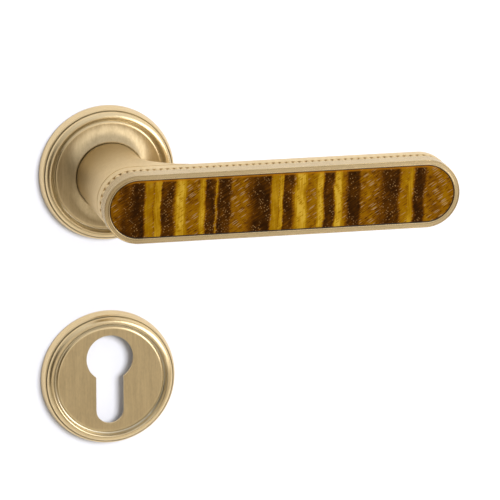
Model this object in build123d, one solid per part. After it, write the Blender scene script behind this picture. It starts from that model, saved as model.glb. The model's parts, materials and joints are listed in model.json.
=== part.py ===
from build123d import *
import math
import os

# Door lever on a round rose, with its matching euro-profile escutcheon.
# Millimetres. The door face is the plane Y = 0 and the room side is -Y.
# The origin is where the spindle axis crosses the door face. +X is along the grip, +Z is up.
# "Depth" is the distance from the door face out into the room, so depth d lies at Y = -d.

# ---- driving dimensions ----
ROSE_R = 26.0              # both roses, outer radius
ROSE_LEDGE_DEPTH = 4.05
TORUS_R = 22.5             # crest of the ridge round each rose
TORUS_DEPTH = 6.0
VALLEY_R = 20.95           # hollow between the ridge and the dish
VALLEY_DEPTH = 4.5
DISH_R = 20.3
DISH_DEPTH = 4.85
COLLAR_DEPTH = 7.3         # where the dish of the rose meets the neck
COLLAR_HOLE_R = 13.15
COVER_INNER_R = 24.7
LEVER_TO_CYLINDER = 72.0   # spindle axis to the round part of the cylinder hole
FIXING_SPACING = 38.0      # between the two fixing screws of each rose
SPINDLE_SIDE = 8.0

NECK_R = 12.9
NECK_SHOULDER = 5.75
FLARE_START = 20.0
FLARE_R = 26.0
FLARE_END_DEG = 78.0
FLARE_STEPS = 7
GRIP_LENGTH = 109.3        # between the centres of the two round ends
GRIP_BACK = 45.3
GRIP_FRONT = 60.1
LIP_FRONT = 50.6
BEZEL_BACK = 53.2
BEZEL_R = 13.0
OPENING_R = 11.0
PLATFORM_R = 11.2
PLATFORM_FRONT = 55.0
STONE_R = 10.7
STONE_BACK = 55.5
STONE_FRONT = 59.9
RIM_FACE_OUTER_R = 12.55   # the front of the bezel is sunk between two fine ridges
RIM_FACE_INNER_R = 11.6
RIM_FACE_SINK = 0.2
PEARL_R = 1.22
PEARL_RING_R = 11.95       # centres of the pearls, which are sunk until they are nearly flush
PEARL_DEPTH = 51.9
PEARL_PITCH = 2.5
BAND_BACK_R = 11.7         # the band under the pearls rises towards the bezel
BAND_FRONT_R = 12.2

JOURNAL_R = 8.5
JOURNAL_END = 0.9
KEY_FLAT_X = 7.9           # two flats on the journal drive the rotor
CAVITY_R = 16.0
CAVITY_BACK = 0.6
CAVITY_FRONT = 2.6
BASE_R = 23.7
BASE_FRONT = 3.2
BASE_BOSS_R = 12.2
BASE_BOSS_FRONT = 5.2
BUSH_R = 10.2
RUNNING_GAP = 0.05

ROTOR_R = 13.2
WIRE = 1.2                 # flat spring wire, width across the radius
SPRING_R = 14.4
SPRING_BACK = 0.8
SPRING_FRONT = 2.4
SPRING_LEG_X = 2.2
STOP_PIN_R = 0.9
STOP_RING_R = 11.2
LEVER_TRAVEL_DEG = 45.0

SCREW_R = 2.0
SCREW_SHANK_R = 1.8
SCREW_HEAD_R = 3.8
SCREW_TIP_Y = 18.0
SCREW_HOLE_R = 2.25
SNAP_WIRE_R = 0.45
SNAP_RING_R = 24.1
SNAP_DEPTH = 1.9

CYLINDER_HOLE_R = 9.1
CYLINDER_SLOT = 10.8
CYLINDER_HOLE_HEIGHT = 34.8
BASE_HOLE_MARGIN = 1.6     # the base is cut back all round the hole in the cover
ESCUTCHEON_Z = -80.25

GRUB_R = 3.0
GRUB_LENGTH = 7.6
GRUB_DEPTH = 15.0


# ---- helpers ----
def at(radius, depth):
    """A point of a turned profile: radius from the axis, depth from the door."""
    return (radius, -depth)


def turned(points):
    """Solid of revolution about the Y axis from (radius, depth) corners."""
    outline = Polyline(*[at(r, d) for r, d in points], close=True)
    return revolve(make_face(outline), Axis.Y, 360)


def disc(outer_r, depth0, depth1, inner_r=0.0):
    """Flat disc or washer on the spindle axis."""
    shape = extrude(Plane.XZ.offset(depth0) * Circle(outer_r), depth1 - depth0)
    if inner_r > 0:
        shape -= extrude(Plane.XZ.offset(depth0 - 1) * Circle(inner_r), depth1 - depth0 + 2)
    return shape


def stadium(length, radius, depth0, depth1):
    """Slot-shaped block that starts round the spindle axis and runs along +X."""
    outline = Pos(length / 2, 0) * SlotCenterToCenter(length, 2 * radius)
    return extrude(Plane.XZ.offset(depth0) * outline, depth1 - depth0)


def grip_section(radius, depth):
    return Plane.XZ.offset(depth) * Pos(GRIP_LENGTH / 2, 0) * SlotCenterToCenter(GRIP_LENGTH, 2 * radius)


def grip_block(radius, depth0, depth1):
    return stadium(GRIP_LENGTH, radius, depth0, depth1)


def rim_edges():
    """Profile of a rose from its rear rim to the edge of its dish."""
    return [
        Line(at(ROSE_R, 0), at(ROSE_R, 0.7)),
        Line(at(ROSE_R, 0.7), at(25.45, 3.1)),
        ThreePointArc(at(25.45, 3.1), at(25.25, 3.72), at(24.95, ROSE_LEDGE_DEPTH)),
        Line(at(24.95, ROSE_LEDGE_DEPTH), at(24.75, ROSE_LEDGE_DEPTH)),
        Line(at(24.75, ROSE_LEDGE_DEPTH), at(24.62, 3.8)),
        Line(at(24.62, 3.8), at(24.48, 4.1)),
        ThreePointArc(at(24.48, 4.1), at(23.88, 5.44), at(TORUS_R, TORUS_DEPTH)),
        ThreePointArc(at(TORUS_R, TORUS_DEPTH), at(22.22, 5.9), at(22.02, 5.65)),
        Line(at(22.02, 5.65), at(21.62, 4.95)),
        ThreePointArc(at(21.62, 4.95), at(21.36, 4.64), at(VALLEY_R, VALLEY_DEPTH)),
        ThreePointArc(at(VALLEY_R, VALLEY_DEPTH), at(20.65, 4.7), at(DISH_R, DISH_DEPTH)),
    ]


def cover(front_edges):
    """Thin turned cover: the common rim, the given front, and a plain inside."""
    return revolve(make_face(Wire(rim_edges() + front_edges)), Axis.Y, 360)


def cylinder_hole(grow, depth0, depth1):
    """Euro-profile hole: a round top and a slot below it with a round end."""
    top = -LEVER_TO_CYLINDER
    bottom = top + CYLINDER_HOLE_R - CYLINDER_HOLE_HEIGHT
    slot_r = CYLINDER_SLOT / 2
    round_part = Pos(0, top) * Circle(CYLINDER_HOLE_R + grow)
    run = top - (bottom + slot_r)
    slot = Pos(0, top - run / 2) * SlotCenterToCenter(run, 2 * (slot_r + grow), rotation=90)
    return extrude(Plane.XZ.offset(depth0) * (round_part + slot), depth1 - depth0)


def wood_screw(x):
    """Countersunk fixing screw, head in the base and point in the door."""
    body = turned([
        (0, 3.1), (SCREW_HEAD_R, 3.1), (SCREW_HEAD_R, 2.7), (SCREW_SHANK_R, 0.9),
        (SCREW_SHANK_R, -0.2), (SCREW_R, -0.4),
        (SCREW_R, -SCREW_TIP_Y + 4), (0.3, -SCREW_TIP_Y), (0, -SCREW_TIP_Y),
    ])
    for angle in (0, 90):
        slot = Pos(0, -2.6, 0) * Rot(0, angle, 0) * Box(4.2, 1.4, 0.8)
        body -= slot
    return Pos(x, 0, 0) * body


def fixing_holes():
    """The two countersunk holes that the fixing screws sit in."""
    hole = turned([
        (0, 5.0), (SCREW_HEAD_R + 0.3, 5.0), (SCREW_HEAD_R + 0.3, 2.6),
        (SCREW_HOLE_R, 0.85), (SCREW_HOLE_R, -1.0), (0, -1.0),
    ])
    return [Pos(x, 0, 0) * hole for x in (-FIXING_SPACING / 2, FIXING_SPACING / 2)]


def snap_ring():
    """Open ring of spring wire that grips a cover on its base."""
    ring = Rot(90, 0, 0) * Torus(SNAP_RING_R, SNAP_WIRE_R)
    gap = Pos(0, 0, -SNAP_RING_R) * Box(5, 4, 4)
    return Pos(0, -SNAP_DEPTH, 0) * (ring - gap)


def ring_groove():
    groove = disc(BASE_R + 2, SNAP_DEPTH - 0.6, SNAP_DEPTH + 0.6, SNAP_RING_R - SNAP_WIRE_R - 0.1)
    return groove


def write(name, shape):
    shape.label = name
    export_step(shape, "parts/" + name + ".step")


# ---- fixed side: the rose ----
def rose_cover():
    return cover([
        ThreePointArc(at(DISH_R, DISH_DEPTH), at(16.6, 5.5), at(13.5, COLLAR_DEPTH)),
        Line(at(13.5, COLLAR_DEPTH), at(COLLAR_HOLE_R, COLLAR_DEPTH)),
        Line(at(COLLAR_HOLE_R, COLLAR_DEPTH), at(COLLAR_HOLE_R, 6.1)),
        Line(at(COLLAR_HOLE_R, 6.1), at(16.4, 4.5)),
        Line(at(16.4, 4.5), at(19.8, 3.6)),
        Line(at(19.8, 3.6), at(24.2, 3.4)),
        Line(at(24.2, 3.4), at(COVER_INNER_R, 2.8)),
        Line(at(COVER_INNER_R, 2.8), at(COVER_INNER_R, 0)),
        Line(at(COVER_INNER_R, 0), at(ROSE_R, 0)),
    ])


def rose_base():
    base = disc(BASE_R, CAVITY_BACK, BASE_FRONT)
    base += disc(BASE_BOSS_R, BASE_FRONT, BASE_BOSS_FRONT)
    base -= disc(BUSH_R, 0, BASE_BOSS_FRONT + 1)
    base -= disc(CAVITY_R, 0, CAVITY_FRONT)
    base -= ring_groove()
    for hole in fixing_holes():
        base -= hole
    # slot that anchors the outer leg of the spring
    cavity_middle = -(CAVITY_FRONT + CAVITY_BACK) / 2
    base -= Pos(-SPRING_LEG_X, cavity_middle, CAVITY_R) * Box(1.6, CAVITY_FRONT - CAVITY_BACK, 3)
    for pin in stop_pin_places():
        base -= pin * Cylinder(STOP_PIN_R, 4)
    return base


def rose_back_plate():
    plate = disc(BASE_R, 0, CAVITY_BACK, JOURNAL_R + 1.1)
    for hole in fixing_holes():
        plate -= hole
    return plate


def neck_bush():
    return disc(BUSH_R, CAVITY_FRONT, BASE_BOSS_FRONT, JOURNAL_R + RUNNING_GAP)


def thrust_washer():
    return disc(BASE_BOSS_R, BASE_BOSS_FRONT, NECK_SHOULDER - RUNNING_GAP, JOURNAL_R + 0.3)


def stop_pin_places():
    """Two stop pins, left and right of the spindle, at the upper end of their slots."""
    depth = CAVITY_FRONT - 0.45
    return [Pos(x, -depth, 0) * Rot(90, 0, 0) for x in (-STOP_RING_R, STOP_RING_R)]


def stop_pins():
    return Compound([place * Cylinder(STOP_PIN_R, 2.1) for place in stop_pin_places()])


def return_spring():
    """Open ring of flat spring wire: one leg hooked in the base, the other in the rotor."""
    middle = -(SPRING_BACK + SPRING_FRONT) / 2
    height = SPRING_FRONT - SPRING_BACK
    ring = disc(SPRING_R + WIRE / 2, SPRING_BACK, SPRING_FRONT, SPRING_R - WIRE / 2)
    ring -= Pos(0, middle, SPRING_R) * Box(2 * SPRING_LEG_X, 4, 4)
    outer_leg = Pos(-SPRING_LEG_X, middle, SPRING_R + 1.3) * Box(WIRE, height, 2.8)
    inner_leg = Pos(SPRING_LEG_X, middle, SPRING_R - 1.1) * Box(WIRE, height, 2.6)
    return ring + outer_leg + inner_leg


def rose_screws():
    return Compound([wood_screw(x) for x in (-FIXING_SPACING / 2, FIXING_SPACING / 2)])


# ---- fixed side: the escutcheon ----
def escutcheon_cover():
    shell = cover([
        Line(at(DISH_R, DISH_DEPTH), at(0, DISH_DEPTH)),
        Line(at(0, DISH_DEPTH), at(0, 3.7)),
        Line(at(0, 3.7), at(23.6, 3.7)),
        Line(at(23.6, 3.7), at(COVER_INNER_R, 2.8)),
        Line(at(COVER_INNER_R, 2.8), at(COVER_INNER_R, 0)),
        Line(at(COVER_INNER_R, 0), at(ROSE_R, 0)),
    ])
    return Pos(0, 0, ESCUTCHEON_Z) * shell - cylinder_hole(0, 1, 7)


def escutcheon_base():
    base = disc(BASE_R, 0, BASE_FRONT)
    base -= ring_groove()
    for hole in fixing_holes():
        base -= hole
    return Pos(0, 0, ESCUTCHEON_Z) * base - cylinder_hole(BASE_HOLE_MARGIN, -1, 6)


# ---- moving side: the lever ----
def flare():
    """Neck that sweeps out towards +X on a hollow arc until it meets the back of the grip."""
    sections = []
    for step in range(FLARE_STEPS + 1):
        angle = math.radians(FLARE_END_DEG * step / FLARE_STEPS)
        depth = FLARE_START + FLARE_R * math.sin(angle)
        reach = 0.1 + FLARE_R * (1 - math.cos(angle))
        outline = Pos(reach / 2, 0) * SlotCenterToCenter(reach, 2 * NECK_R)
        sections.append(Plane.XZ.offset(depth) * outline)
    return loft(sections)


def lever_body():
    lip = grip_block(NECK_R, GRIP_BACK, LIP_FRONT)
    lip = fillet(lip.faces().sort_by(Axis.Y)[-1].edges(), 0.9)
    body = lip + grip_block(PLATFORM_R, LIP_FRONT, PLATFORM_FRONT)
    body += stadium(0.1, NECK_R, NECK_SHOULDER, FLARE_START)
    body += flare()
    body += disc(JOURNAL_R, JOURNAL_END, NECK_SHOULDER)
    side = SPINDLE_SIDE + 0.1
    body -= Pos(0, -17.5, 0) * Box(side, 36, side)
    body -= Pos(0, -GRUB_DEPTH, -NECK_R / 2 - 1) * Cylinder(GRUB_R, NECK_R + 2)
    body -= disc(JOURNAL_R + 1, 1.0, 1.6, JOURNAL_R - 0.6)
    for x in (-KEY_FLAT_X, KEY_FLAT_X):
        body -= Pos(x + math.copysign(1.5, x), -1.75, 0) * Box(3, 1.7, 20)
    return body


def pearl_places():
    """Centres of the pearls, evenly spaced round the slot-shaped edge of the grip."""
    half_turn = math.pi * PEARL_RING_R
    total = 2 * GRIP_LENGTH + 2 * half_turn
    count = round(total / PEARL_PITCH)
    places = []
    for index in range(count):
        run = (index + 0.5) * total / count
        if run < GRIP_LENGTH:
            places.append((run, PEARL_RING_R))
        elif run < GRIP_LENGTH + half_turn:
            angle = math.pi / 2 - (run - GRIP_LENGTH) / PEARL_RING_R
            places.append((GRIP_LENGTH + PEARL_RING_R * math.cos(angle), PEARL_RING_R * math.sin(angle)))
        elif run < 2 * GRIP_LENGTH + half_turn:
            places.append((2 * GRIP_LENGTH + half_turn - run, -PEARL_RING_R))
        else:
            angle = -math.pi / 2 - (run - 2 * GRIP_LENGTH - half_turn) / PEARL_RING_R
            places.append((PEARL_RING_R * math.cos(angle), PEARL_RING_R * math.sin(angle)))
    return places


def beaded_trim():
    """Band round the grip with a row of half-sunk pearls, open towards the neck."""
    band = loft([grip_section(BAND_BACK_R, LIP_FRONT), grip_section(BAND_FRONT_R, BEZEL_BACK)])
    pearls = [Pos(x, -PEARL_DEPTH, z) * Sphere(PEARL_R) for x, z in pearl_places()]
    return band + pearls - grip_block(PLATFORM_R, LIP_FRONT - 1, BEZEL_BACK + 1)


def inlay_bezel():
    """Frame round the stone, whose sunk face leaves a fine ridge at each edge."""
    frame = grip_block(BEZEL_R, BEZEL_BACK, GRIP_FRONT)
    frame = fillet(frame.faces().sort_by(Axis.Y)[-1].edges(), 0.4)
    frame -= grip_block(OPENING_R, BEZEL_BACK - 1, GRIP_FRONT + 1)
    frame -= grip_block(PLATFORM_R, BEZEL_BACK - 1, PLATFORM_FRONT)
    sunk_face = grip_block(RIM_FACE_OUTER_R, GRIP_FRONT - RIM_FACE_SINK, GRIP_FRONT + 1)
    frame -= sunk_face - grip_block(RIM_FACE_INNER_R, GRIP_FRONT - 1, GRIP_FRONT + 2)
    ridges = frame.faces().sort_by(Axis.Y)[0:2]
    return fillet([edge for ridge in ridges for edge in ridge.edges()], RIM_FACE_SINK - 0.02)


def inlay_bed():
    bed = grip_block(OPENING_R, PLATFORM_FRONT, GRIP_FRONT - 0.7)
    return bed - grip_block(STONE_R, STONE_BACK, GRIP_FRONT)


def stone_inlay():
    stone = grip_block(STONE_R, STONE_BACK, STONE_FRONT)
    return fillet(stone.faces().sort_by(Axis.Y)[0].edges(), 0.25)


def spindle():
    length = 78.0
    bar = Pos(0, -32 + length / 2, 0) * Box(SPINDLE_SIDE, length, SPINDLE_SIDE)
    return chamfer(bar.edges().filter_by(Axis.Y), 0.4)


def spindle_grub_screw():
    top = -SPINDLE_SIDE / 2
    screw = Pos(0, 0, top - GRUB_LENGTH / 2) * Cylinder(GRUB_R - 0.05, GRUB_LENGTH)
    socket = Pos(0, 0, top - GRUB_LENGTH) * extrude(RegularPolygon(1.5, 6, major_radius=False), 3.0)
    return Pos(0, -GRUB_DEPTH, 0) * (screw - socket)


def drive_rotor():
    """Plate keyed to the journal; its curved slots run on the stop pins."""
    plate = disc(ROTOR_R, 1.65, 2.5)
    hole = disc(JOURNAL_R + RUNNING_GAP, 1, 3)
    for x in (-KEY_FLAT_X, KEY_FLAT_X):
        side = math.copysign(1.0 + RUNNING_GAP, x)
        hole -= Pos(x + side, -1.75, 0) * Box(2, 4, 20)
    plate -= hole
    slot_r = STOP_PIN_R + 0.2
    track = CenterArc((0, 0), STOP_RING_R, 0, LEVER_TRAVEL_DEG)
    slot = extrude(Plane.XZ.offset(1) * SlotArc(track, 2 * slot_r), 2)
    plate -= slot
    plate -= Rot(0, 180, 0) * slot
    plate -= Pos(SPRING_LEG_X, -2, ROTOR_R) * Box(1.6, 3, 3.4)
    return plate


def circlip():
    ring = disc(JOURNAL_R + 0.9, 1.05, 1.55, JOURNAL_R - 0.5)
    return ring - Pos(0, -1.3, -JOURNAL_R) * Box(5.0, 2, 6)


def main():
    os.makedirs("parts", exist_ok=True)
    lower = Pos(0, 0, ESCUTCHEON_Z)
    nodes = {
        "rose_cover": rose_cover(),
        "rose_base": rose_base(),
        "rose_back_plate": rose_back_plate(),
        "neck_bush": neck_bush(),
        "thrust_washer": thrust_washer(),
        "stop_pins": stop_pins(),
        "return_spring": return_spring(),
        "rose_screws": rose_screws(),
        "rose_snap_ring": snap_ring(),
        "escutcheon_cover": escutcheon_cover(),
        "escutcheon_base": escutcheon_base(),
        "escutcheon_screws": lower * rose_screws(),
        "escutcheon_snap_ring": lower * snap_ring(),
        "lever_body": lever_body(),
        "beaded_trim": beaded_trim(),
        "inlay_bezel": inlay_bezel(),
        "inlay_bed": inlay_bed(),
        "stone_inlay": stone_inlay(),
        "spindle": spindle(),
        "spindle_grub_screw": spindle_grub_screw(),
        "drive_rotor": drive_rotor(),
        "circlip": circlip(),
    }
    for name, shape in nodes.items():
        write(name, shape)


main()
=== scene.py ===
import json
import math

import bpy
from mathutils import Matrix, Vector


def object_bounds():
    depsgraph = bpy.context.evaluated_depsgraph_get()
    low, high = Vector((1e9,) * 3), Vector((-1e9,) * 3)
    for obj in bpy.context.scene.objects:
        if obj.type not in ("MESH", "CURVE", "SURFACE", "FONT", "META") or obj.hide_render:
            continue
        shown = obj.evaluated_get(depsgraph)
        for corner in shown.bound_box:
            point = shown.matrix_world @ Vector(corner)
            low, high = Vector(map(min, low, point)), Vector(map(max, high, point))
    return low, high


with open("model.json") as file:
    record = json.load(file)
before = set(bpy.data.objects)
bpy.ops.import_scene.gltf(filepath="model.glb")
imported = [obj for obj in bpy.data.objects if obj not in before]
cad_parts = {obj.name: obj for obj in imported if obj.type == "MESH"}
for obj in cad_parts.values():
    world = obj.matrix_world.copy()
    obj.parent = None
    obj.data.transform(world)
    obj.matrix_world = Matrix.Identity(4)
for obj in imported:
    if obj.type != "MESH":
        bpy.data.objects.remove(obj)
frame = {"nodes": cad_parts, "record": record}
cad_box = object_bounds()

MM = 0.001

# ---- sizes shared with the CAD model, in metres ----
ESCUTCHEON_Z = -80.25 * MM
GROOVE_R = 24.62 * MM       # groove outside the ridge of each rose
HOLLOW_R = 21.6 * MM        # hollow between the ridge and the dish
DISH_R = 20.3 * MM
GRIP_LENGTH = 109.3 * MM    # between the centres of the two round ends
STONE_R = 10.7 * MM
# the opening in the base of the escutcheon: a round part, and a slot that ends in a smaller round foot
HOLE_ROUND_Z = -72 * MM
HOLE_ROUND_R = 10.7 * MM
HOLE_FOOT_Z = -92.3 * MM
HOLE_SLOT_R = 7 * MM

# ---- stage ----
WALL_Y = 0.1 * MM
WALL_LEFT = -0.5
WALL_RIGHT = 0.5
WALL_TOP = 0.6
WALL_CUT_R = 25.5 * MM      # the wall is cut away behind each rose
FLOOR_DROP = 0.12           # from the lowest point of the object to the floor
FLOOR_REACH = 3.0
LIGHTS_AIM = Vector((0.03, 0, -0.03))
FLAG_AZIMUTH = -46
FLAG_ELEVATION = -12
FLAG_DISTANCE = 0.6
FLAG_HALF_WIDTH = 0.22
FLAG_HALF_HEIGHT = 0.28

# ---- camera ----
CAMERA_AZIMUTH = -12.96
CAMERA_ELEVATION = 14.62
CAMERA_DISTANCE = 2.2
CAMERA_TARGET = Vector((0.0558, 0.0, -0.0338))
CAMERA_LENS = 414.6

# ---- colours, linear; the darker one of each pair is what brushing leaves in its lines, and BRASS_DARK and RIM_DARK also carry the painted shade on the neck and at the rim's neck end ----
BRASS = (0.79, 0.645, 0.41, 1)
BRASS_DARK = (0.55, 0.43, 0.24, 1)
# painted shade: the rose dish is a darker copy of the same brushed brass as the escutcheon disc
ROSE_DISH_PAINTED_SHADE = (0.74, 0.60, 0.38, 1)
ROSE_DISH_PAINTED_SHADE_DARK = (0.48, 0.37, 0.21, 1)
# painted light: the escutcheon disc is a lighter copy of the same brushed brass as the rose dish
DISC_PAINTED_LIGHT = (0.94, 0.775, 0.50, 1)
DISC_PAINTED_LIGHT_DARK = (0.62, 0.49, 0.285, 1)
RIM = (0.60, 0.485, 0.30, 1)
RIM_DARK = (0.42, 0.32, 0.18, 1)
BRASS_EDGE = (0.99, 0.97, 0.93, 1)          # tint of the metal at a grazing angle
BRASS_RECESS_SHADE = (0.50, 0.47, 0.385, 1)       # painted shade: darker, greyer metal colour in the groove and the hollow


def direction(azimuth, elevation):
    """Unit vector towards a viewer at this azimuth and elevation in degrees; azimuth 0 is -Y."""
    a = math.radians(azimuth)
    e = math.radians(elevation)
    return Vector((math.sin(a) * math.cos(e), -math.cos(a) * math.cos(e), math.sin(e)))


# ---------------------------------------------------------------- node helpers
class Graph:
    """Short calls for building a material's node tree."""

    def __init__(self, name):
        self.material = bpy.data.materials.new(name)
        self.material.use_nodes = True
        self.nodes = self.material.node_tree.nodes
        self.links = self.material.node_tree.links
        self.shader = self.nodes["Principled BSDF"]

    def add(self, kind, **settings):
        node = self.nodes.new(kind)
        for key, value in settings.items():
            setattr(node, key, value)
        return node

    def feed(self, node, socket, value):
        """Sets a socket from a number, a colour or another node's output."""
        if isinstance(value, bpy.types.NodeSocket):
            self.links.new(value, node.inputs[socket])
        else:
            node.inputs[socket].default_value = value

    def set(self, socket, value):
        self.feed(self.shader, socket, value)

    def position(self):
        """Place in the model's frame, in metres."""
        return self.add("ShaderNodeTexCoord").outputs["Object"]

    def split(self, vector):
        node = self.add("ShaderNodeSeparateXYZ")
        self.feed(node, 0, vector)
        return node.outputs[0], node.outputs[1], node.outputs[2]

    def join(self, x, y, z):
        node = self.add("ShaderNodeCombineXYZ")
        for index, value in enumerate((x, y, z)):
            self.feed(node, index, value)
        return node.outputs[0]

    def math(self, operation, a, b=0.0, c=0.0):
        node = self.add("ShaderNodeMath", operation=operation)
        for index, value in enumerate((a, b, c)):
            self.feed(node, index, value)
        return node.outputs[0]

    def length(self, a, b):
        """Square root of a squared plus b squared."""
        return self.math("SQRT", self.math("ADD", self.math("MULTIPLY", a, a), self.math("MULTIPLY", b, b)))

    def near(self, value, target, inner, outer, strength):
        """This strength where value is within inner of the target, fading to 0 at outer."""
        apart = self.math("ABSOLUTE", self.math("SUBTRACT", value, target))
        return self.fit(apart, inner, outer, strength, 0.0)

    def added(self, a, b):
        node = self.add("ShaderNodeVectorMath", operation="ADD")
        self.feed(node, 0, a)
        self.feed(node, 1, b)
        return node.outputs[0]

    def scaled(self, vector, factor):
        node = self.add("ShaderNodeVectorMath", operation="SCALE")
        self.feed(node, 0, vector)
        self.feed(node, "Scale", factor)
        return node.outputs[0]

    def fit(self, value, low, high, to_low=0.0, to_high=1.0):
        """Maps low..high to to_low..to_high and holds the ends."""
        node = self.add("ShaderNodeMapRange")
        for index, number in enumerate((value, low, high, to_low, to_high)):
            self.feed(node, index, number)
        return node.outputs[0]

    def mapped(self, vector, scale):
        node = self.add("ShaderNodeMapping")
        self.feed(node, "Vector", vector)
        self.feed(node, "Scale", scale)
        return node.outputs[0]

    def noise(self, vector, scale=1.0, detail=2.0, rough=0.5):
        node = self.add("ShaderNodeTexNoise")
        self.feed(node, "Vector", vector)
        self.feed(node, "Scale", scale)
        self.feed(node, "Detail", detail)
        self.feed(node, "Roughness", rough)
        return node.outputs[0]

    def ramp(self, value, stops):
        node = self.add("ShaderNodeValToRGB")
        elements = node.color_ramp.elements
        while len(elements) < len(stops):
            elements.new(0.5)
        for element, (place, colour) in zip(elements, stops):
            element.position = place
            element.color = (*colour, 1)
        self.feed(node, 0, value)
        return node.outputs[0]

    def mix(self, factor, a, b):
        node = self.add("ShaderNodeMix", data_type="RGBA")
        self.feed(node, 0, factor)
        self.feed(node, 6, a)
        self.feed(node, 7, b)
        return node.outputs[2]

    def blend(self, factor, a, b):
        """Like mix, for plain numbers."""
        node = self.add("ShaderNodeMix", data_type="FLOAT")
        self.feed(node, 0, factor)
        self.feed(node, 2, a)
        self.feed(node, 3, b)
        return node.outputs[0]

    def stretch(self, amount, tangent):
        """Spreads highlights along the tangent, across the brush lines."""
        self.set("Anisotropic", amount)
        self.set("Tangent", tangent)

    def bump(self, height, distance, strength=1.0):
        node = self.add("ShaderNodeBump")
        self.feed(node, "Height", height)
        self.feed(node, "Distance", distance)
        self.feed(node, "Strength", strength)
        self.set("Normal", node.outputs[0])


# ---------------------------------------------------------------- brass
def brushed_brass(name, grain, wide_grain, roughness, tones=(BRASS, BRASS_DARK), tangent=None, painted_shade=None):
    """Satin champagne brass. grain(graph) and wide_grain(graph) give the coordinates that the brush lines
    follow, tangent(graph) the direction across them, and painted_shade(graph) how much of the darker tone
    is painted in as shade."""
    g = Graph(name)
    fine = g.noise(grain(g), 1.0, 2.0, 0.6)
    wide = g.noise(wide_grain(g), 1.0, 1.0)
    cloud = g.noise(g.position(), 90.0, 2.0)
    tone = g.math("ADD", g.math("MULTIPLY", fine, 0.55), g.math("MULTIPLY", wide, 0.45))
    light, dark = tones
    colour = g.mix(g.fit(tone, 0.35, 0.65, 0.0, 0.30), light, dark)
    colour = g.mix(g.fit(cloud, 0.35, 0.65, 0.0, 0.08), colour, dark)
    # painted shade: the darker tone is mixed in where the shade function asks for it
    if painted_shade:
        colour = g.mix(painted_shade(g), colour, dark)
    g.set("Base Color", colour)
    g.set("Metallic", 1.0)
    g.set("Specular Tint", BRASS_EDGE)
    g.set("Roughness", g.fit(tone, 0.3, 0.7, roughness - 0.05, roughness + 0.08))
    if tangent:
        g.stretch(0.35, tangent(g))
    g.bump(fine, 0.008 * MM, 0.5)
    return g.material


def upright_grain(g):
    """Fine brush lines that run up and down."""
    return g.mapped(g.position(), (2600, 2600, 160))


def upright_wide(g):
    """Wider brush lines that run up and down."""
    return g.mapped(g.position(), (700, 700, 60))


def grip_place(g):
    """Position, how far x is past the grip's straight stretch, and the distance from the line between the
    centres of its two round ends."""
    x, y, z = g.split(g.position())
    past = g.math("SUBTRACT", x, g.math("MINIMUM", g.math("MAXIMUM", x, 0.0), GRIP_LENGTH))
    return x, y, z, past, g.length(past, z)


def grain_round_grip(g, across_scale, along_scale, depth_scale):
    """Brush lines that follow the rim round the grip."""
    x, y, _, _, across = grip_place(g)
    return g.join(
        g.math("MULTIPLY", across, across_scale),
        g.math("MULTIPLY", x, along_scale),
        g.math("MULTIPLY", y, depth_scale),
    )


def along_grain(g):
    """Fine brush lines along the rim."""
    return grain_round_grip(g, 4200, 130, 1500)


def along_wide(g):
    """Wider brush lines along the rim."""
    return grain_round_grip(g, 1200, 60, 600)


def across_grip(g):
    """Direction outward from the middle of the grip."""
    _, _, z, past, across = grip_place(g)
    return g.join(g.math("DIVIDE", past, across), 0.0, g.math("DIVIDE", z, across))


def neck_painted_shade(g):
    """Painted shade: the neck is painted darker towards the rose and towards its lower left side."""
    x, y, z = g.split(g.position())
    inward = g.fit(y, -46 * MM, -18 * MM, 0.12, 1.2)
    sideways = g.fit(g.math("ADD", x, z), -14 * MM, 18 * MM, 1.0, 0.45)
    return g.math("MULTIPLY", inward, sideways)


def rim_painted_shade(g):
    """Painted shade: the rim is painted darker at its neck end."""
    return g.fit(g.split(g.position())[0], -13 * MM, 8 * MM, 0.9, 0.0)


def turned_place(g, centre_z):
    """Position from the axis of a round piece whose centre is at this height, and the radius there."""
    x, y, z = g.split(g.position())
    z = g.math("SUBTRACT", z, centre_z)
    return x, y, z, g.length(x, z)


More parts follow.
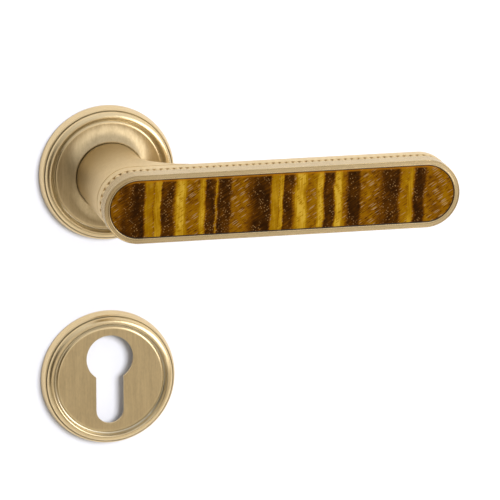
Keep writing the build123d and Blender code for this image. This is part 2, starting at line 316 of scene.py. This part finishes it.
def cover_brass(name, centre_z, dish_tones):
    """Upright brushing on the dish, and lathe lines round the rings outside it."""
    g = Graph(name)
    x, y, z, radius = turned_place(g, centre_z)
    on_ring = g.fit(radius, DISH_R - 0.4 * MM, DISH_R + 0.1 * MM)
    upright = g.noise(upright_grain(g), 1.0, 2.0, 0.6)
    upright_slow = g.noise(upright_wide(g), 1.0, 1.0)
    lathe_grain = g.join(
        g.math("MULTIPLY", radius, 5200),
        g.math("MULTIPLY", g.math("ARCTAN2", z, x), 2.0),
        g.math("MULTIPLY", y, 5200),
    )
    lathe = g.noise(lathe_grain, 1.0, 2.0, 0.6)
    brushed = g.math("ADD", g.math("MULTIPLY", upright, 0.55), g.math("MULTIPLY", upright_slow, 0.45))
    tone = g.blend(on_ring, brushed, g.fit(lathe, 0.0, 1.0, 0.40, 0.50))
    cloud = g.noise(g.position(), 90.0, 2.0)
    light, dark = dish_tones
    mottle = g.noise(g.mapped(g.position(), (1500, 1500, 700)), 1.0, 2.0, 0.6)
    streaked = g.math("ADD", tone, g.fit(mottle, 0.3, 0.7, -0.10, 0.10))
    dish = g.mix(g.fit(streaked, 0.30, 0.70, 0.05, 0.45), light, dark)
    ring = g.mix(g.fit(tone, 0.35, 0.65, 0.0, 0.36), BRASS, BRASS_DARK)
    colour = g.mix(on_ring, dish, ring)
    colour = g.mix(g.fit(cloud, 0.35, 0.65, 0.0, 0.08), colour, BRASS_DARK)
    # painted shade: the groove and the hollow of each ring are painted darker and greyer
    groove = g.near(radius, GROOVE_R, 0.10 * MM, 0.30 * MM, 0.75)
    hollow = g.near(radius, HOLLOW_R, 0.35 * MM, 0.9 * MM, 0.85)
    colour = g.mix(g.math("MAXIMUM", groove, hollow), colour, BRASS_RECESS_SHADE)
    g.set("Base Color", colour)
    g.set("Metallic", 1.0)
    dish_roughness = g.fit(tone, 0.3, 0.7, 0.46, 0.56)
    ring_roughness = g.fit(tone, 0.3, 0.6, 0.25, 0.30)
    g.set("Roughness", g.blend(on_ring, dish_roughness, ring_roughness))
    outward = g.join(g.math("DIVIDE", x, radius), 0.0, g.math("DIVIDE", z, radius))
    across = g.join(g.math("SUBTRACT", 1.0, on_ring), 0.0, 0.0)
    g.stretch(g.blend(on_ring, 0.92, 0.1), g.added(across, g.scaled(outward, on_ring)))
    g.bump(g.blend(on_ring, upright, g.math("MULTIPLY", lathe, 0.04)), 0.02 * MM, 0.5)
    return g.material


# ---------------------------------------------------------------- tiger's eye
# Bands from the neck end to the tip: width in millimetres, tone (0 dark brown to 1 yellow), softness of
# the edge that follows, in millimetres.
STONE_BANDS = [
    (5.2, 0.46, 3.2), (3.9, 0.20, 2.4), (3.9, 0.06, 0.9), (2.9, 0.68, 0.3), (0.3, 0.36, 0.2),
    (2.9, 0.80, 0.3), (5.8, 0.17, 1.6), (3.8, 0.93, 1.6), (5.2, 0.53, 1.2), (1.6, 0.88, 0.6),
    (3.4, 0.12, 0.3), (1.1, 0.80, 0.8), (5.0, 0.11, 0.9), (8.8, 0.52, 4.2), (5.9, 0.09, 0.7),
    (2.6, 0.70, 0.2), (0.3, 0.50, 0.2), (1.7, 0.86, 0.4), (5.2, 0.17, 2.2), (3.9, 0.95, 1.4),
    (4.2, 0.56, 1.0), (2.0, 0.93, 0.4), (4.3, 0.13, 0.9), (2.6, 0.92, 0.4), (2.4, 0.58, 1.6),
    (4.6, 0.08, 0.9), (9.1, 0.52, 4.0), (5.9, 0.13, 1.2), (3.0, 0.60, 0.3), (2.2, 0.74, 0.9),
    (4.3, 0.08, 1.0), (10.6, 0.50, 1.0),
]


def band_stops(bands, start, length):
    """Ramp stops for a run of bands, as fractions of the stone's length, and where the run ends."""
    stops = []
    place = start
    for width, tone, soft in bands:
        level = (tone, tone, tone)
        stops.append((place / length, level))
        stops.append((max(place + width - soft, place + 0.05) / length, level))
        place += width
    return stops, place


def slanted(g, degrees, along, across):
    """Flat coordinates on the stone's face, turned by this angle, for streaky textures."""
    x, _, z = g.split(g.position())
    c = math.cos(math.radians(degrees))
    s = math.sin(math.radians(degrees))
    u = g.math("ADD", g.math("MULTIPLY", x, c), g.math("MULTIPLY", z, s))
    v = g.math("SUBTRACT", g.math("MULTIPLY", z, c), g.math("MULTIPLY", x, s))
    return g.join(g.math("MULTIPLY", u, along), g.math("MULTIPLY", v, across), 0.0)


def dashes(g, where, size, share):
    """Scattered marks, 1 inside a mark; share is how many of the cells carry one."""
    cells = g.add("ShaderNodeTexVoronoi", feature="F1", voronoi_dimensions="2D")
    g.feed(cells, "Vector", where)
    g.feed(cells, "Scale", 1.0)
    inside = g.fit(cells.outputs["Distance"], size * 0.6, size, 1.0, 0.0)
    red = g.add("ShaderNodeSeparateColor")
    g.feed(red, 0, cells.outputs["Color"])
    return g.math("MULTIPLY", inside, g.math("LESS_THAN", red.outputs[0], share))


def tiger_eye():
    """Ragged bands across the grip, slanted fibres in the brown ones and specks in the dark ones."""
    g = Graph("tiger_eye")
    total = sum(width for width, _, _ in STONE_BANDS)
    x, _, z, _, across = grip_place(g)
    sway = g.fit(g.noise(slanted(g, 90, 90, 30), 1.0, 2.0), 0.2, 0.8, -0.8 * MM, 0.8 * MM)
    ragged = g.fit(g.noise(slanted(g, 32, 500, 1600), 1.0, 2.0), 0.2, 0.8, -0.3 * MM, 0.3 * MM)
    lean = g.math("MULTIPLY", z, -0.05)
    shifted = g.math("ADD", g.math("ADD", x, lean), g.math("ADD", sway, ragged))
    run = g.math("DIVIDE", g.math("ADD", shifted, STONE_R), GRIP_LENGTH + 2 * STONE_R)
    half = len(STONE_BANDS) // 2
    first, middle = band_stops(STONE_BANDS[:half], 0.0, total)
    second = band_stops(STONE_BANDS[half:], middle, total)[0]
    in_second = g.math("GREATER_THAN", run, middle / total)
    bands = g.blend(in_second, g.ramp(run, first), g.ramp(run, second))

    # how much of each texture a band carries
    fibrous = g.fit(g.math("ABSOLUTE", g.math("SUBTRACT", bands, 0.5)), 0.06, 0.2, 1.0, 0.0)
    bright = g.fit(bands, 0.78, 0.9)
    dark = g.fit(bands, 0.22, 0.42, 1.0, 0.0)

    slant = g.noise(slanted(g, 32, 220, 2600), 1.0, 3.0, 0.6)
    upright = g.noise(slanted(g, 90, 110, 2400), 1.0, 3.0, 0.6)
    patches = g.noise(slanted(g, 90, 130, 260), 1.0, 3.0)
    grain = g.blend(g.fit(bands, 0.62, 0.72, 1.0, 0.25), upright, slant)
    tone = g.math("ADD", bands, g.fit(grain, 0.3, 0.7, -0.16, 0.16))
    tone = g.math("ADD", tone, g.fit(patches, 0.3, 0.7, -0.12, 0.12))
    # dark cuts across the bright bands
    cuts = dashes(g, slanted(g, 34, 420, 2200), 0.42, 0.45)
    cut_depth = g.fit(g.math("MAXIMUM", bright, fibrous), 0, 1, 0, 0.22)
    tone = g.math("SUBTRACT", tone, g.math("MULTIPLY", cuts, cut_depth))
    colour = g.ramp(tone, [
        (0.0, (0.024, 0.0070, 0.0)),
        (0.13, (0.050, 0.0155, 0.0)),
        (0.30, (0.115, 0.038, 0.0)),
        (0.50, (0.230, 0.090, 0.0)),
        (0.70, (0.315, 0.155, 0.0)),
        (0.90, (0.500, 0.285, 0.012)),
        (1.0, (0.600, 0.380, 0.040)),
    ])
    # pale scratches along the fibres
    scratch = dashes(g, slanted(g, 32, 260, 2400), 0.40, 0.28)
    scratched = g.math("MULTIPLY", scratch, g.math("MULTIPLY", fibrous, 0.7))
    colour = g.mix(scratched, colour, (0.40, 0.27, 0.13, 1))
    # pale specks, most of them in the dark bands
    specks = dashes(g, slanted(g, 45, 1150, 1600), 0.33, 0.36)
    clusters = g.fit(g.noise(slanted(g, 90, 130, 330), 1.0, 2.0), 0.42, 0.58)
    speckled = g.math("MULTIPLY", g.math("MULTIPLY", specks, clusters), g.fit(dark, 0, 1, 0.12, 0.6))
    colour = g.mix(speckled, colour, (0.42, 0.24, 0.09, 1))
    # painted light: a warm glow painted along the upper edge, where light enters the stone
    edge = g.fit(across, STONE_R - 0.8 * MM, STONE_R - 0.2 * MM, 0.0, 0.7)
    edge = g.math("MULTIPLY", edge, g.fit(z, 8.6 * MM, 10.2 * MM))
    colour = g.mix(edge, colour, (0.46, 0.17, 0.006, 1))
    g.set("Base Color", colour)
    g.set("Roughness", g.fit(grain, 0.3, 0.7, 0.45, 0.60))
    g.set("Specular IOR Level", 0.03)
    g.bump(grain, 0.02 * MM, 0.4)
    return g.material


# ---------------------------------------------------------------- other materials
def plain_metal(name, colour, roughness, scale=900.0, stretch=(1, 1, 1), mark=0.15):
    """Worked steel or zinc: fine grain, slight stains and a light bump."""
    g = Graph(name)
    grain = g.noise(g.mapped(g.position(), stretch), scale, 3.0, 0.6)
    stain = g.noise(g.position(), 160.0, 2.0)
    dark = tuple(c * 0.6 for c in colour[:3]) + (1,)
    g.set("Base Color", g.mix(g.fit(g.math("ADD", grain, stain), 0.7, 1.3, 0.0, mark * 2), colour, dark))
    g.set("Metallic", 1.0)
    g.set("Roughness", g.fit(grain, 0.3, 0.7, roughness - 0.07, roughness + 0.1))
    g.bump(grain, 0.03 * MM, 0.5)
    return g.material


def moulded(name, colour, roughness):
    """Plastic or resin: slight colour variation and a fine dull grain."""
    g = Graph(name)
    grain = g.noise(g.position(), 2500.0, 2.0)
    tint = g.noise(g.position(), 220.0, 2.0)
    dark = tuple(c * 0.8 for c in colour[:3]) + (1,)
    g.set("Base Color", g.mix(g.fit(tint, 0.3, 0.7, 0.0, 0.5), colour, dark))
    g.set("Roughness", g.fit(grain, 0.3, 0.7, roughness - 0.05, roughness + 0.08))
    g.bump(grain, 0.01 * MM, 0.5)
    return g.material


def give(node, material):
    """Puts the material in every slot of a CAD node."""
    for slot in frame["nodes"][node].material_slots:
        slot.material = material


def assign_materials():
    satin = brushed_brass("satin_brass", upright_grain, upright_wide, 0.36, painted_shade=neck_painted_shade)
    pearl = brushed_brass("pearl_brass", upright_grain, upright_wide, 0.48)
    rim_tones = (RIM, RIM_DARK)
    rim = brushed_brass("rim_brass", along_grain, along_wide, 0.24, rim_tones, across_grip, rim_painted_shade)
    zinc = plain_metal("cast_zinc", (0.50, 0.50, 0.51, 1), 0.42, 1400.0)
    plated = plain_metal("zinc_plated_steel", (0.62, 0.63, 0.66, 1), 0.30, 800.0)
    drawn = plain_metal("drawn_steel", (0.60, 0.61, 0.64, 1), 0.30, 900.0, (1, 0.06, 1))
    spring = plain_metal("spring_steel", (0.28, 0.29, 0.32, 1), 0.32, 900.0)
    black = plain_metal("black_steel", (0.06, 0.06, 0.07, 1), 0.38, 900.0)
    nylon = moulded("nylon", (0.74, 0.72, 0.66, 1), 0.5)
    # the rose gets the darker dish tones (painted shade), the escutcheon the lighter ones (painted light)
    give("rose_cover", cover_brass("rose_brass", 0.0, (ROSE_DISH_PAINTED_SHADE, ROSE_DISH_PAINTED_SHADE_DARK)))
    give("escutcheon_cover", cover_brass("escutcheon_brass", ESCUTCHEON_Z, (DISC_PAINTED_LIGHT, DISC_PAINTED_LIGHT_DARK)))
    give("lever_body", satin)
    give("beaded_trim", pearl)
    give("inlay_bezel", rim)
    give("stone_inlay", tiger_eye())
    give("inlay_bed", moulded("dark_epoxy", (0.020, 0.012, 0.006, 1), 0.45))
    for node in ("rose_base", "escutcheon_base"):
        give(node, zinc)
    for node in ("rose_back_plate", "rose_screws", "escutcheon_screws", "drive_rotor"):
        give(node, plated)
    for node in ("return_spring", "stop_pins", "rose_snap_ring", "escutcheon_snap_ring", "circlip"):
        give(node, spring)
    for node in ("neck_bush", "thrust_washer"):
        give(node, nylon)
    give("spindle", drawn)
    give("spindle_grub_screw", black)


# ---------------------------------------------------------------- stage
def flat(name, corners):
    """Stage piece with four corners, which isn't part of the object."""
    mesh = bpy.data.meshes.new(name)
    mesh.from_pydata(corners, [], [(0, 1, 2, 3)])
    obj = bpy.data.objects.new(name, mesh)
    bpy.context.scene.collection.objects.link(obj)
    return obj


def covered_by_roses(g):
    """1 behind the roses, where the wall is cut away so that their backs are lit, but not in the cylinder
    hole, through which the wall shows."""
    from_rose = turned_place(g, 0.0)[3]
    from_escutcheon = turned_place(g, ESCUTCHEON_Z)[3]
    x, _, z, from_round_part = turned_place(g, HOLE_ROUND_Z)
    foot = HOLE_FOOT_Z - HOLE_ROUND_Z
    past = g.math("SUBTRACT", z, g.fit(z, foot, 0.0, foot, 0.0))
    in_hole = g.math("LESS_THAN", from_round_part, HOLE_ROUND_R)
    in_hole = g.math("MAXIMUM", in_hole, g.math("LESS_THAN", g.length(x, past), HOLE_SLOT_R))
    covered = g.math("SUBTRACT", g.math("LESS_THAN", from_escutcheon, WALL_CUT_R), in_hole)
    return g.math("MAXIMUM", covered, g.math("LESS_THAN", from_rose, WALL_CUT_R))


def one_sided_white():
    """White wall paint on the room side. Behind the roses and from the back, the wall is transparent."""
    g = Graph("wall_white")
    seen = g.add("ShaderNodeLightPath").outputs["Is Camera Ray"]
    mirrored = (0.60, 0.58, 0.55, 1)
    direct = (0.62, 0.635, 0.70, 1)
    g.set("Base Color", g.mix(seen, mirrored, direct))
    g.set("Roughness", 0.9)
    g.set("Specular IOR Level", 0.1)
    behind = g.add("ShaderNodeNewGeometry").outputs["Backfacing"]
    clear = g.add("ShaderNodeBsdfTransparent")
    choice = g.add("ShaderNodeMixShader")
    g.links.new(g.math("MAXIMUM", behind, covered_by_roses(g)), choice.inputs[0])
    g.links.new(g.shader.outputs[0], choice.inputs[1])
    g.links.new(clear.outputs[0], choice.inputs[2])
    g.links.new(choice.outputs[0], g.nodes["Material Output"].inputs[0])
    return g.material


def floor_pale():
    """Pale floor. What the metal mirrors of it is light far out, has a painted dark band about 0.2 to 0.45
    m out from the wall that shades the reflections in the lower rose dish, and is light again next to the
    wall.
    """
    g = Graph("floor_pale")
    _, y, _ = g.split(g.position())
    mottle = g.noise(g.position(), 6.0, 3.0)
    pale = g.mix(mottle, (0.72, 0.70, 0.67, 1), (0.76, 0.74, 0.71, 1))
    # painted shade: a darker band of floor, seen only in the metal's reflections
    mirrored = g.ramp(g.fit(y, -0.9, 0.0), [
        (0.0, (0.92, 0.84, 0.72)),
        (0.40, (0.92, 0.84, 0.71)),
        (0.50, (0.84, 0.75, 0.61)),
        (0.63, (0.32, 0.26, 0.15)),
        (0.72, (0.34, 0.28, 0.18)),
        (0.80, (0.98, 0.95, 0.88)),
    ])
    seen = g.add("ShaderNodeLightPath").outputs["Is Camera Ray"]
    g.set("Base Color", g.mix(seen, mirrored, pale))
    g.set("Roughness", 0.85)
    return g.material


def build_stage():
    """White wall, which stands for the door face, and a pale floor below it. Returns the wall."""
    floor_z = cad_box[0][2] - FLOOR_DROP
    wall = flat("wall", [
        (WALL_LEFT, WALL_Y, floor_z),
        (WALL_RIGHT, WALL_Y, floor_z),
        (WALL_RIGHT, WALL_Y, WALL_TOP),
        (WALL_LEFT, WALL_Y, WALL_TOP),
    ])
    wall.data.materials.append(one_sided_white())
    around = ((-1, -1), (1, -1), (1, 1), (-1, 1))
    floor = flat("floor", [(FLOOR_REACH * i, FLOOR_REACH * j, floor_z) for i, j in around])
    floor.data.materials.append(floor_pale())
    return wall


def collected(name, objects):
    """New collection that holds these objects."""
    group = bpy.data.collections.new(name)
    bpy.context.scene.collection.children.link(group)
    for obj in objects:
        group.objects.link(obj)
    return group


def area_light(name, azimuth, elevation, distance, size, power, colour=(1, 1, 1), glossy=True):
    """Rectangular light in this direction from the object; the camera can't see it."""
    data = bpy.data.lights.new(name, "AREA")
    data.shape = "RECTANGLE"
    data.size, data.size_y = size
    data.energy = power
    data.color = colour
    light = bpy.data.objects.new(name, data)
    bpy.context.scene.collection.objects.link(light)
    out = direction(azimuth, elevation)
    light.location = LIGHTS_AIM + out * distance
    light.rotation_euler = out.to_track_quat("Z", "Y").to_euler()
    light.visible_camera = False
    light.visible_glossy = glossy
    return light


def build_world():
    """A soft grey room, lighter overhead and a little darker towards the left."""
    world = bpy.data.worlds.new("studio")
    bpy.context.scene.world = world
    world.use_nodes = True
    tree = world.node_tree
    background = tree.nodes["Background"]
    look = tree.nodes.new("ShaderNodeTexCoord").outputs["Generated"]
    apart = tree.nodes.new("ShaderNodeSeparateXYZ")
    tree.links.new(look, apart.inputs[0])
    upward = world_ramp(tree, apart.outputs[2], [
        (-1.0, (0.26, 0.21, 0.13)),
        (-0.25, (0.46, 0.41, 0.33)),
        (0.2, (0.70, 0.67, 0.61)),
        (0.6, (0.98, 0.97, 0.95)),
        (1.0, (1.0, 0.99, 0.97)),
    ])
    sideways = world_ramp(tree, apart.outputs[0], [
        (-1.0, (0.50, 0.48, 0.44)),
        (-0.2, (0.95, 0.95, 0.95)),
        (1.0, (1.0, 1.0, 1.0)),
    ])
    both = tree.nodes.new("ShaderNodeMix")
    both.data_type = "RGBA"
    both.blend_type = "MULTIPLY"
    both.inputs[0].default_value = 1.0
    tree.links.new(upward, both.inputs[6])
    tree.links.new(sideways, both.inputs[7])
    tree.links.new(both.outputs[2], background.inputs[0])


def world_ramp(tree, value, stops):
    """Colours by a value from -1 to 1."""
    spread = tree.nodes.new("ShaderNodeMapRange")
    spread.inputs[1].default_value = -1.0
    spread.inputs[2].default_value = 1.0
    tree.links.new(value, spread.inputs[0])
    ramp = tree.nodes.new("ShaderNodeValToRGB")
    tree.links.new(spread.outputs[0], ramp.inputs[0])
    elements = ramp.color_ramp.elements
    while len(elements) < len(stops):
        elements.new(0.5)
    for element, (place, tone) in zip(elements, stops):
        element.position = (place + 1) / 2
        element.color = (*tone, 1)
    return ramp.outputs[0]


def build_lights(wall):
    """A key light that reaches the object alone, and a wash over the wall, on which only the roses cast a
    shadow."""
    key = area_light("key", 44, 11, distance=1.1, size=(1.1, 0.6), power=7.0, colour=(1.0, 0.98, 0.95))
    key.light_linking.receiver_collection = collected("lit_by_key", frame["nodes"].values())
    wash = area_light("wall_wash", 20, 14, distance=1.3, size=(0.6, 0.6), power=22.0, glossy=False)
    wash.light_linking.receiver_collection = collected("lit_by_wash", [wall])
    fixed = [frame["nodes"][node] for node in frame["record"]["behaviour"]["bodies"]["door_fixings"]]
    wash.light_linking.blocker_collection = collected("shades_the_wash", fixed)


def build_flag():
    """Dark card at the left that darkens one side of the rings; the camera can't see it."""
    out = direction(FLAG_AZIMUTH, FLAG_ELEVATION)
    middle = out * FLAG_DISTANCE
    side = out.cross(Vector((0, 0, 1))).normalized() * FLAG_HALF_WIDTH
    up = side.cross(out).normalized() * FLAG_HALF_HEIGHT
    card = flat("flag", [middle - side - up, middle + side - up, middle + side + up, middle - side + up])
    card.visible_camera = False
    card.data.materials.append(moulded("flag_dark", (0.05, 0.035, 0.012, 1), 0.9))


def build_camera():
    data = bpy.data.cameras.new("camera")
    data.lens = CAMERA_LENS
    data.sensor_width = 36
    data.clip_start = 0.01
    data.clip_end = 50
    camera = bpy.data.objects.new("camera", data)
    bpy.context.scene.collection.objects.link(camera)
    out = direction(CAMERA_AZIMUTH, CAMERA_ELEVATION)
    camera.location = CAMERA_TARGET + out * CAMERA_DISTANCE
    camera.rotation_euler = out.to_track_quat("Z", "Y").to_euler()
    bpy.context.scene.camera = camera
    bpy.context.scene.view_settings.view_transform = "Standard"


build_camera()
assign_materials()
wall = build_stage()
build_flag()
build_world()
build_lights(wall)
